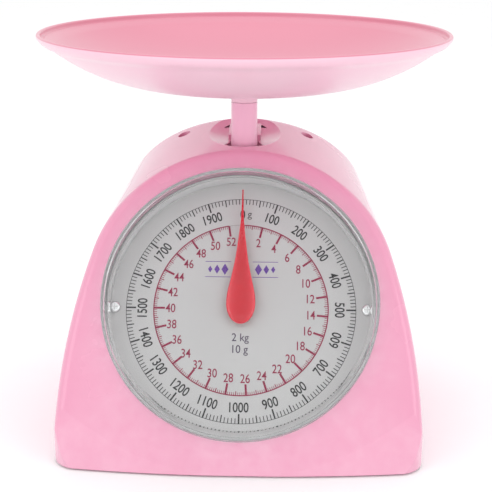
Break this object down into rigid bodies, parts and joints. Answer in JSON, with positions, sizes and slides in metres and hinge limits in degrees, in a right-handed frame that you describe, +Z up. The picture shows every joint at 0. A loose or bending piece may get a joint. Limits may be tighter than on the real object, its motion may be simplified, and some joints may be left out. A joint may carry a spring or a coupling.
{
  "type": "kitchen scale",
  "caption": "Mechanical dial kitchen scale: a dished pan on a sprung post above a leaning pink housing with a round dial, red pointer and clear window.",
  "frame": {"origin": "on the table under the axis of the weighing post, the middle of the footprint of the pan", "axes": "+X to the right of someone reading the dial, +Y to the back, +Z up"},
  "size_m": [0.21, 0.21, 0.1983],
  "materials": {
    "pink_shell": "glossy injection-moulded pink polystyrene",
    "pan_pink": "glossy injection-moulded pale pink polystyrene",
    "post_pink": "glossy moulded pink plastic",
    "clear_plastic": "clear moulded polystyrene window",
    "dial_grey": "silver-grey lacquered sheet printed with the scales",
    "well_grey": "silver-grey moulded plastic",
    "pointer_red": "glossy translucent red plastic",
    "screw_steel": "bright nickel-plated steel",
    "zinc_steel": "zinc-plated pressed steel",
    "spring_steel": "oiled spring steel wire",
    "brass": "turned brass",
    "base_grey": "textured pink plastic underside",
    "rubber": "soft black rubber",
    "knob_white": "satin white plastic"
  },
  "bodies": {
    "housing": {"housing_shell": "pink_shell", "base_plate": "base_grey", "rubber_feet": "rubber", "base_screws": "zinc_steel", "top_screws": "screw_steel", "clear_cover": "clear_plastic", "dial_well": "well_grey", "well_screws": "zinc_steel", "dial_plate": "dial_grey", "dial_screws": "screw_steel", "movement_frame": "zinc_steel", "front_bush": "brass", "rear_bush": "brass", "movement_screws": "zinc_steel", "lever_pivot_pins": "zinc_steel", "pivot_clips": "spring_steel", "chassis": "zinc_steel", "chassis_screws": "zinc_steel"},
    "carriage": {"weighing_post": "post_pink", "post_screws": "zinc_steel", "carriage_frame": "zinc_steel", "carriage_pins": "zinc_steel", "spring_bar": "zinc_steel", "rack": "brass", "rack_bracket": "zinc_steel", "rack_rivets": "zinc_steel"},
    "pan": {"weighing_pan": "pan_pink"},
    "pointer": {"pointer": "pointer_red", "pointer_hub": "brass", "pointer_arbor": "zinc_steel", "pinion": "brass"},
    "upper_lever": {"upper_lever": "zinc_steel"},
    "lower_lever": {"lower_lever": "zinc_steel"},
    "hanger": {"spring_hanger": "zinc_steel", "zero_nut": "brass", "left_spring": "spring_steel", "right_spring": "spring_steel"},
    "zero_adjuster": {"zero_screw": "zinc_steel", "zero_knob": "knob_white"}
  },
  "joints": [
    {"name": "weighing_slide", "type": "slide", "parent": "housing", "child": "carriage", "axis": [0, 0, -1], "range_m": [0, 0.01482], "stiffness_N_per_m": 1325, "springref_m": -0.0028, "deforming": ["left_spring", "right_spring"]},
    {"name": "pan_lift", "type": "slide", "parent": "carriage", "child": "pan", "axis": [0, 0, 1], "range_m": [0, 0.04]},
    {"name": "pointer_turn", "type": "hinge", "parent": "housing", "child": "pointer", "pos_m": [0, -0.04555, 0.06429], "axis": [0, 0.848, -0.5299], "range_deg": [0, 361]},
    {"name": "upper_lever_turn", "type": "hinge", "parent": "housing", "child": "upper_lever", "pos_m": [0, 0.036, 0.096], "axis": [1, 0, 0], "range_deg": [0, 21]},
    {"name": "lower_lever_turn", "type": "hinge", "parent": "housing", "child": "lower_lever", "pos_m": [0, 0.036, 0.034], "axis": [1, 0, 0], "range_deg": [0, 21]},
    {"name": "zero_wheel_turn", "type": "hinge", "parent": "housing", "child": "zero_adjuster", "pos_m": [0, 0.035, 0.12], "axis": [0, 0, 1], "range_deg": [-361, 361]},
    {"name": "zero_hanger_slide", "type": "slide", "parent": "housing", "child": "hanger", "axis": [0, 0, 1], "range_m": [-0.0008, 0.0008]}
  ],
  "couplings": [
    {"joint": "pointer_turn", "follows": "weighing_slide", "rad_per_m": 424.02},
    {"joint": "upper_lever_turn", "follows": "weighing_slide", "rad_per_m": 23.733},
    {"joint": "lower_lever_turn", "follows": "weighing_slide", "rad_per_m": 23.733},
    {"joint": "zero_wheel_turn", "follows": "zero_hanger_slide", "rad_per_m": -7854}
  ]
}
